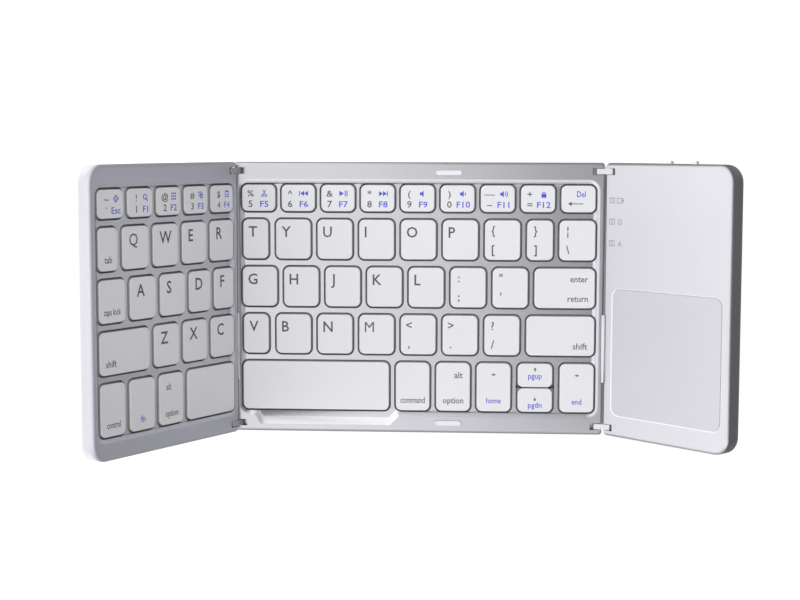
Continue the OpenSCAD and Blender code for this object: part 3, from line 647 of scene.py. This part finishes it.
smoothCopy("centre_base", shellSettings, (-1, 1))
smoothCopy("left_base", shellSettings, (1,))
smoothCopy("right_base", shellSettings, (-1,))
smoothCopy("centre_deck", shellSettings, (-1, 1), "centreTrayPaintedLight")
smoothCopy("left_deck", shellSettings, (1,), "tray", "leftShellPaintedShade")
smoothCopy("right_deck", shellSettings, (-1,), "face")
smoothCopy("left_cable_cover", shellSettings)
smoothCopy("right_cable_cover", shellSettings)
smoothCopy("left_hinge_links", shellSettings, kind="link")
smoothCopy("right_hinge_links", shellSettings, kind="link")
print("stage: shells")

# Keycaps

capSettings = {
    "chamfer": 0.2 * mm,  # width of the CAD cap's chamfer, inside its outline
    "cornerRadius": 1.9 * mm,
    "leastRadius": 0.3 * mm,
    "edgeRadius": 0.24 * mm,
    "cornerSteps": 8,
    "edgeSteps": 5,
    "crease": 0.08 * mm,  # a narrow flat ring that keeps the round's shading off the top
    "shadeTop": 0.55 * mm,  # below the cap's top, where its side goes into the shade of the gap
    "flange": 0.95 * mm,
    "flangeTop": 2.0 * mm,  # below the cap's top
    "flangeBottom": 2.6 * mm,
    "litFacing": 0.6,  # a left cap's side that faces right more than this takes the cap's finish
}


# Rounded rectangle, one point per row: each corner is a quarter circle, walked anticlockwise
def roundedOutline(x0, x1, y0, y1, radius, steps):
    angle = np.linspace(0, np.pi / 2, steps + 1)
    quarters = []
    for k, (cx, cy) in enumerate(((x1 - radius, y1 - radius), (x0 + radius, y1 - radius),
                                  (x0 + radius, y0 + radius), (x1 - radius, y0 + radius))):
        a = angle + k * np.pi / 2
        quarters.append(np.column_stack([cx + radius * np.cos(a), cy + radius * np.sin(a)]))
    return np.vstack(quarters)


# Faces of a tube of rings, each ring with n points, and a flat face on either end
def ringFaces(rings, n, start):
    k, i = np.meshgrid(np.arange(rings - 1), np.arange(n), indexing="ij")
    a = start + k * n + i
    b = start + k * n + (i + 1) % n
    quads = np.stack([a, b, b + n, a + n], axis=-1).reshape(-1, 4).tolist()
    bottom = list(range(start + n - 1, start - 1, -1))
    last = start + (rings - 1) * n
    return quads + [bottom, list(range(last, last + n))]


# A cap: the outline is inset by a profile that goes round the flange, up the side, over a quarter
# circle and in over the flat top. The third result is the material of each face: the second one, a
# painted shade, below the gap's shade line and underneath, and the first one above
def capSurface(rect, top, s, start):
    x0, x1, y0, y1 = rect
    grow = s["chamfer"]
    r = s["edgeRadius"]
    turn = np.linspace(0, np.pi / 2, s["edgeSteps"] + 1)
    shaded = [(-s["flange"], -s["flangeBottom"]), (-s["flange"], -s["flangeTop"]), (0, -s["flangeTop"])]
    lit = [(0, -s["shadeTop"])] + [(r * (1 - math.cos(a)), -r + r * math.sin(a)) for a in turn]
    lit += [(r + s["crease"], 0.0)]
    rings = []
    for inset, height in shaded + lit:
        radius = max(s["cornerRadius"] - inset, s["leastRadius"])
        outline = roundedOutline(x0 - grow + inset, x1 + grow - inset, y0 - grow + inset, y1 + grow - inset,
                                 radius, s["cornerSteps"])
        rings.append(np.column_stack([outline, np.full(len(outline), top + height)]))
    n = len(rings[0])
    faces = ringFaces(len(rings), n, start)
    darkSides = len(shaded) * n
    finish = [1] * darkSides + [0] * (len(faces) - darkSides)
    finish[-2] = 1  # the last two faces are the underside and the top
    return np.vstack(rings), faces, finish


# All caps of a node as one piece. Returns where their tops are
def makeCaps(node, s):
    tops, height = capTops(node, topSettings)
    vertices, faces, finish, start = [], [], [], 0
    for rect in tops:
        points, own, kinds = capSurface(rect, height, s, start)
        vertices.append(points)
        faces += own
        finish += kinds
        start += len(points)
    vertices = np.vstack(vertices) @ axesOf[node]
    piece = newPiece(node + "_caps", vertices, faces, bodyOf[node], materials["keycap"])
    piece.data.materials.append(materials["keySidePaintedShade"])
    # On the left panel, a cap's side that faces right, where the light falls, keeps the keycap finish
    # instead of the painted shade
    if node in leftKeys:  # the camera's side of these catches the light
        facing = readArray(piece.data.polygons, "normal", 3) @ axesOf[node][0]
        finish = np.where(facing > s["litFacing"], 0, finish).tolist()
    piece.data.polygons.foreach_set("material_index", finish)
    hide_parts(node)
    return tops, height


capPlaces = {node: makeCaps(node, capSettings) for node in axesOf}
print("stage: keycaps", sum(len(tops) for tops, height in capPlaces.values()))

# Printed marks. A mark is a text or a list of shapes, a shape is a list of closed loops, and a loop is
# an array of points in mm, x to the right and y away from the front

inkSettings = {
    "thickness": 0.012,  # mm
    "sink": 0.004,
    "capHeight": 0.729,  # of a letter whose text size is 1
    "swell": 0.012,  # how far the strokes are thickened, at text size 1
    "plainSigns": "M4Q",  # signs whose sharp inner points leave no room for thicker strokes
    "narrow": 0.95,  # width of text, against that of the font
    "curveSteps": 2,
    "roundSteps": 20,
    "merge": 0.00001,
    "headHalf": 0.62,  # half width of an arrow's head, against its length
}


# A rectangle
def bar(x0, x1, y0, y1):
    return [np.array([(x0, y0), (x1, y0), (x1, y1), (x0, y1)], float)]


# A rectangle's border: the rectangle, and the same one inset by the stroke as its hole
def frameShape(x0, x1, y0, y1, stroke):
    return bar(x0, x1, y0, y1) + bar(x0 + stroke, x1 - stroke, y0 + stroke, y1 - stroke)


# A straight stroke between two points, as a rectangle of the stroke's width
def strokeShape(a, b, stroke):
    a, b = np.array(a, float), np.array(b, float)
    along = (b - a) / np.linalg.norm(b - a)
    side = np.array((-along[1], along[0])) * stroke / 2
    return [np.array([a - side, b - side, b + side, a + side])]


# Points of an arc from angle a0 to a1, in degrees, at one radius
def arcPoints(cx, cy, radius, a0, a1):
    angle = np.radians(np.linspace(a0, a1, inkSettings["roundSteps"] + 1))
    return np.column_stack([cx + radius * np.cos(angle), cy + radius * np.sin(angle)])


# A thick arc: out along the larger radius and back along the smaller one
def arcShape(cx, cy, radius, a0, a1, stroke):
    outer = arcPoints(cx, cy, radius + stroke / 2, a0, a1)
    inner = arcPoints(cx, cy, radius - stroke / 2, a0, a1)
    return [np.vstack([outer, inner[::-1]])]


# A ring: circles half a stroke outside and inside its radius
def ringShape(cx, cy, radius, stroke):
    return [arcPoints(cx, cy, radius + side * stroke / 2, 0, 360)[:-1] for side in (1, -1)]


# A triangle that points along x: its base stands at x0 and its tip at x1
def triangleShape(x0, x1, y, half):
    return [np.array([(x0, y - half), (x1, y), (x0, y + half)], float)]


# An arrow from a tail to a tip: a thin stroke that ends in a triangle
def arrowShapes(tail, tip, stroke, head):
    tail, tip = np.array(tail, float), np.array(tip, float)
    along = (tip - tail) / np.linalg.norm(tip - tail)
    side = np.array((-along[1], along[0])) * head * inkSettings["headHalf"]
    neck = tip - along * head
    return [strokeShape(tail, neck, stroke), [np.array([neck - side, tip, neck + side])]]


# A speaker: a cone, and waves as arcs of 48 degrees either way, each 0.5 outside the one before
def speakerShapes(waves):
    cone = [np.array([(-1.0, -0.4), (-0.5, -0.4), (0.1, -0.95), (0.1, 0.95), (-0.5, 0.4), (-1.0, 0.4)])]
    return [cone] + [arcShape(0.1, 0.0, 0.55 + 0.5 * k, -48, 48, 0.24) for k in range(waves)]


# A diamond's outline, from its middle to its points
def diamond(reach):
    return np.array([(-reach, 0.0), (0.0, reach), (reach, 0.0), (0.0, -reach)])


# Icons, each about 2 units high round its middle
iconShapes = {
    "home": [[diamond(1.1), diamond(0.65)], bar(-0.2, 0.2, -0.2, 0.2)],
    "search": [ringShape(-0.2, 0.2, 0.62, 0.28), strokeShape((0.2, -0.2), (0.95, -0.95), 0.34)],
    "select": [bar(x, x + 0.5, y, y + 0.5) for x in (-1.0, -0.25, 0.5) for y in (-1.0, -0.25, 0.5)],
    "copy": [frameShape(-0.95, 0.35, -0.35, 0.95, 0.26), frameShape(-0.35, 0.95, -0.95, 0.35, 0.26)],
    "paste": [frameShape(-0.85, 0.85, -0.95, 0.75, 0.26), bar(-0.4, 0.4, 0.6, 1.05),
              bar(-0.35, 0.35, -0.3, -0.06)],
    "cut": [ringShape(-0.5, -0.7, 0.3, 0.22), ringShape(0.5, -0.7, 0.3, 0.22),
            strokeShape((-0.35, -0.45), (0.42, 1.0), 0.22), strokeShape((0.35, -0.45), (-0.42, 1.0), 0.22)],
    "back": [bar(-1.35, -1.1, -0.75, 0.75), triangleShape(0.1, -1.05, 0, 0.75),
             triangleShape(1.25, 0.1, 0, 0.75)],
    "play": [triangleShape(-1.2, 0.15, 0, 0.8), bar(0.35, 0.65, -0.8, 0.8), bar(0.9, 1.2, -0.8, 0.8)],
    "forward": [triangleShape(-1.25, -0.1, 0, 0.75), triangleShape(-0.1, 1.05, 0, 0.75),
                bar(1.1, 1.35, -0.75, 0.75)],
    "mute": speakerShapes(0),
    "quiet": speakerShapes(1),
    "loud": speakerShapes(2),
    "lock": [bar(-0.7, 0.7, -1.0, 0.1), arcShape(0.0, 0.1, 0.45, 0, 180, 0.25)],
    "battery": [frameShape(-1.45, 1.15, -0.85, 0.85, 0.3), bar(1.15, 1.5, -0.35, 0.35),
                bar(0.3, 0.75, -0.4, 0.4)],
    "link": [ringShape(0, 0, 0.8, 0.3), arcShape(-0.2, 0, 0.38, -60, 60, 0.2),
             bar(-0.32, -0.08, -0.12, 0.12)],
}


# A flat filled curve with one closed line for each loop
def shapeCurve(loops):
    data = bpy.data.curves.new("shape", "CURVE")
    data.dimensions = "2D"
    data.fill_mode = "BOTH"
    for loop in loops:
        spline = data.splines.new("POLY")
        spline.points.add(len(loop) - 1)
        points = np.column_stack([loop, np.zeros(len(loop)), np.ones(len(loop))])
        spline.points.foreach_set("co", points.ravel())
        spline.use_cyclic_u = True
    return data


# Words as a curve, with their strokes thickened unless a sign has no room for it
def textCurve(words):
    data = bpy.data.curves.new("words", "FONT")
    data.body = words
    data.resolution_u = inkSettings["curveSteps"]
    if not set(words) & set(inkSettings["plainSigns"]):
        data.offset = inkSettings["swell"]
    return data


# The curve as a closed thin mesh, its two faces and its walls merged: points in mm and faces
def curveMesh(data, thickness):
    data.extrude = thickness / 2
    carrier = bpy.data.objects.new("carrier", data)
    bpy.context.scene.collection.objects.link(carrier)
    mesh = bpy.data.meshes.new_from_object(carrier.evaluated_get(bpy.context.evaluated_depsgraph_get()))
    work = bmesh.new()
    work.from_mesh(mesh)
    bmesh.ops.remove_doubles(work, verts=work.verts, dist=inkSettings["merge"])
    bmesh.ops.recalc_face_normals(work, faces=work.faces)
    work.to_mesh(mesh)
    work.free()
    points = readArray(mesh.vertices, "co", 3)
    faces = [list(polygon.vertices) for polygon in mesh.polygons]
    bpy.data.objects.remove(carrier)
    bpy.data.curves.remove(data)
    bpy.data.meshes.remove(mesh)
    return points, faces


# One mark's points in mm. Text is scaled to a cap height, then set to the left, middle or right of x,
# with the middle of its capitals at y
def markMesh(mark):
    s = inkSettings
    if "text" in mark:
        size = mark["height"] / s["capHeight"]
        points, faces = curveMesh(textCurve(mark["text"]), s["thickness"] / size)
        low, high = points[:, 0].min(), points[:, 0].max()
        wide = size * mark.get("stretch", s["narrow"])
        if "width" in mark:
            wide = mark["width"] / (high - low)
        share = {"left": 0.0, "middle": 0.5, "right": 1.0}[mark.get("set", "middle")]
        points[:, 0] = (points[:, 0] - low - share * (high - low)) * wide
        points[:, 1] -= s["capHeight"] / 2
        points[:, 1:] *= size
        parts = [(points, faces)]
    else:
        parts = [curveMesh(shapeCurve(loops), s["thickness"]) for loops in mark["shapes"]]
        for points, faces in parts:
            points[:, :2] *= mark.get("scale", 1.0)
    return [(points + (mark["x"], mark["y"], 0.0), faces) for points, faces in parts]


# All marks of one ink on a node become one piece. Each is placed from its own corner, on the surface
# at the given height, into which it is sunk a little
def printMarks(name, marks, body, ink, axes):
    if not marks:
        return
    rise = (inkSettings["thickness"] / 2 - inkSettings["sink"]) * mm
    vertices, faces, start = [], [], 0
    for mark, corner, height in marks:
        for points, own in markMesh(mark):
            vertices.append(points * mm + (corner[0], corner[1], height + rise))
            faces += [[start + i for i in face] for face in own]
            start += len(points)
    newPiece(name, np.vstack(vertices) @ axes, faces, body, materials[ink], smooth=False)


# What each key says, one entry per key along the row. Two signs stand one over the other
keySigns = {
    "left_upper_keys": ["Q", "W", "E", "R"],
    "left_home_keys": ["A", "S", "D", "F"],
    "left_lower_keys": ["Z", "X", "C"],
    "t_key": ["T"],
    "upper_keys": ["Y", "U", "I", "O", "P", "{["],
    "brace_key": ["}]"],
    "pipe_key": ["¦\\"],
    "home_row_keys": ["G", "H", "J", "K", "L", ":;", "\"'"],
    "v_key": ["V"],
    "lower_keys": ["B", "N", "M", "<,", ">.", "?/"],
}

# Upper sign, digit, icon and the name beside it
numberSigns = {
    "left_number_keys": [("~", "`", "home", "Esc"), ("!", "1", "search", "F1"), ("@", "2", "select", "F2"),
                         ("#", "3", "copy", "F3"), ("$", "4", "paste", "F4")],
    "centre_number_keys": [("%", "5", "cut", "F5"), ("^", "6", "back", "F6"), ("&", "7", "play", "F7"),
                           ("*", "8", "forward", "F8"), ("(", "9", "mute", "F9"), (")", "0", "quiet", "F10"),
                           ("—", "–", "loud", "F11"), ("+", "=", "lock", "F12")],
}

# Words: ink, text, how it is set, x from the left (or right) edge, y from the back edge, height, width
keyWords = {
    "tab_key": [("dark_ink", "tab", "left", 2.6, 10.4, 2.3, 3.6)],
    "caps_key": [("dark_ink", "caps lock", "left", 2.0, 10.4, 2.3, 8.0)],
    "left_shift_key": [("dark_ink", "shift", "left", 2.6, 10.4, 2.3, 5.0)],
    "control_key": [("dark_ink", "control", "left", 2.6, 13.5, 2.3, 6.6)],
    "fn_key": [("blue_ink", "fn", "middle", 0.0, 13.5, 2.3, 2.2)],
    "left_option_key": [("dark_ink", "alt", "left", 3.4, 4.3, 2.3, 2.4),
                        ("dark_ink", "option", "middle", 0.0, 13.5, 2.3, 6.6)],
    "backspace_key": [("blue_ink", "Del", "left", 5.4, 2.9, 2.2, 3.1)],
    "enter_key": [("dark_ink", "enter", "right", 2.4, 3.6, 2.3, 6.3),
                  ("dark_ink", "return", "right", 2.4, 10.6, 2.3, 7.2)],
    "right_shift_key": [("dark_ink", "shift", "right", 2.4, 10.6, 2.3, 5.2)],
    "command_key": [("dark_ink", "command", "middle", 0.0, 13.5, 2.3, 8.8)],
    "right_option_key": [("dark_ink", "alt", "right", 2.6, 4.3, 2.3, 3.0),
                         ("dark_ink", "option", "middle", 0.0, 13.5, 2.3, 7.4)],
    "arrow_left_key": [("blue_ink", "home", "middle", 0.0, 13.4, 2.1, 5.2)],
    "arrow_up_key": [("blue_ink", "pgup", "middle", 0.0, 4.3, 2.1, 4.9)],
    "arrow_down_key": [("blue_ink", "pgdn", "middle", 0.0, 5.9, 2.1, 4.9)],
    "arrow_right_key": [("blue_ink", "end", "middle", 0.0, 13.5, 2.1, 3.5)],
}

# Arrows: tail and tip, each from the middle of the key's back edge
keyArrows = {
    "backspace_key": ((1.7, -6.4), (-3.7, -6.4)),
    "arrow_left_key": ((0.8, -4.1), (-0.8, -4.1)),
    "arrow_up_key": ((0.0, -2.9), (0.0, -1.3)),
    "arrow_down_key": ((0.0, -3.1), (0.0, -4.7)),
    "arrow_right_key": ((-0.8, -4.1), (0.8, -4.1)),
}

signSettings = {
    "letter": {"x": 2.0, "y": -4.25, "height": 3.95, "set": "left"},
    "upper": {"x": 2.9, "y": -3.5, "height": 3.1},
    "lower": {"x": 2.9, "y": -10.2, "height": 3.1},
    "numberUpper": {"x": 3.05, "y": -3.05, "height": 2.3, "stretch": 1.15},
    "digit": {"x": 3.05, "y": -6.75, "height": 2.4, "stretch": 1.1},
    "icon": {"x": 8.0, "y": -3.05, "scale": 1.22},
    "name": {"x": 8.0, "y": -6.8, "height": 2.2, "stretch": 1.15},
    "leftShift": 1.0,  # how much further from the edge the left panel's signs stand, mm
    "leftGrow": 1.1,  # how much taller the left panel's letters are
    "arrowStroke": 0.3,
    "arrowHead": 0.9,
    "arrowHeadLong": 1.3,
}


# Signs of a key with the letter or two signs, as settings and text
def letterSigns(node, k, s):
    signs = keySigns[node][k]
    if len(signs) > 1:
        return [(s["upper"], signs[0]), (s["lower"], signs[1])]
    grow = s["leftGrow"] if node in leftKeys else 1.0
    return [({**s["letter"], "height": s["letter"]["height"] * grow}, signs)]


# Every mark of a node's keys, by ink: what it is, the corner that it is placed from, and its height
def keyMarks(node, s):
    marks = {"dark_ink": [], "blue_ink": []}
    tops, height = capPlaces[node]
    grow = capSettings["chamfer"]
    shift = s["leftShift"] if node in leftKeys else 0.0
    for k, (x0, x1, y0, y1) in enumerate(tops):
        far = y1 + grow
        corners = {"left": (x0 - grow, far), "middle": ((x0 + x1) / 2, far), "right": (x1 + grow, far)}
        if node in keySigns:
            for kind, text in letterSigns(node, k, s):
                mark = {**kind, "text": text, "x": kind["x"] + shift}
                marks["dark_ink"].append((mark, corners["left"], height))
        if node in numberSigns:
            upper, digit, icon, name = numberSigns[node][k]
            for ink, kind, what, move in (("dark_ink", "numberUpper", {"text": upper}, shift),
                                          ("dark_ink", "digit", {"text": digit}, shift),
                                          ("blue_ink", "icon", {"shapes": iconShapes[icon]}, shift / 2),
                                          ("blue_ink", "name", {"text": name}, shift / 2)):
                mark = {**s[kind], **what, "x": s[kind]["x"] + move}
                marks[ink].append((mark, corners["left"], height))
        for ink, words, place, x, y, high, wide in keyWords.get(node, []):
            mark = {"text": words, "set": place, "x": -x if place == "right" else x, "y": -y,
                    "height": high, "width": wide}
            marks[ink].append((mark, corners[place], height))
        if node in keyArrows:
            tail, tip = keyArrows[node]
            head = s["arrowHeadLong"] if node == "backspace_key" else s["arrowHead"]
            mark = {"shapes": arrowShapes(tail, tip, s["arrowStroke"], head), "x": 0, "y": 0}
            marks["dark_ink"].append((mark, corners["middle"], height))
    return marks


for node in axesOf:
    for ink, marks in keyMarks(node, signSettings).items():
        printMarks(node + "_" + ink, marks, bodyOf[node], ink, axesOf[node])

indicatorSettings = {
    "inset": 6.8,  # mm from the right panel's inner edge
    "windowInset": 3.1,
    "frame": (1.3, 1.05),  # half width and half height of the line round each window
    "frameStroke": 0.34,
    "marks": (("battery", 35.5), ("link", 28.0), ("A", 20.4)),
    "height": 2.1,
    "scale": 1.15,
}


# A mark and a framed window for each indicator, in a column along the panel's inner edge
def makeIndicatorMarks(s):
    face = nodeTriangles("right_deck", rightAxes)
    top = face[:, :, 2].max()
    left = face[:, :, 0].min()
    wide, high = s["frame"]
    marks, frames = [], []
    for name, y in s["marks"]:
        mark = {"x": s["inset"], "y": y}
        if len(name) == 1:
            mark.update(text=name, height=s["height"])
        else:
            mark.update(shapes=iconShapes[name], scale=s["scale"])
        marks.append((mark, (left, 0.0), top))
        window = frameShape(-wide, wide, -high, high, s["frameStroke"])
        frames.append(({"x": s["windowInset"], "y": y, "shapes": [window]}, (left, 0.0), top))
    printMarks("indicator_marks", marks + frames, "right_flap", "pale_ink", rightAxes)


makeIndicatorMarks(indicatorSettings)
print("stage: marks")
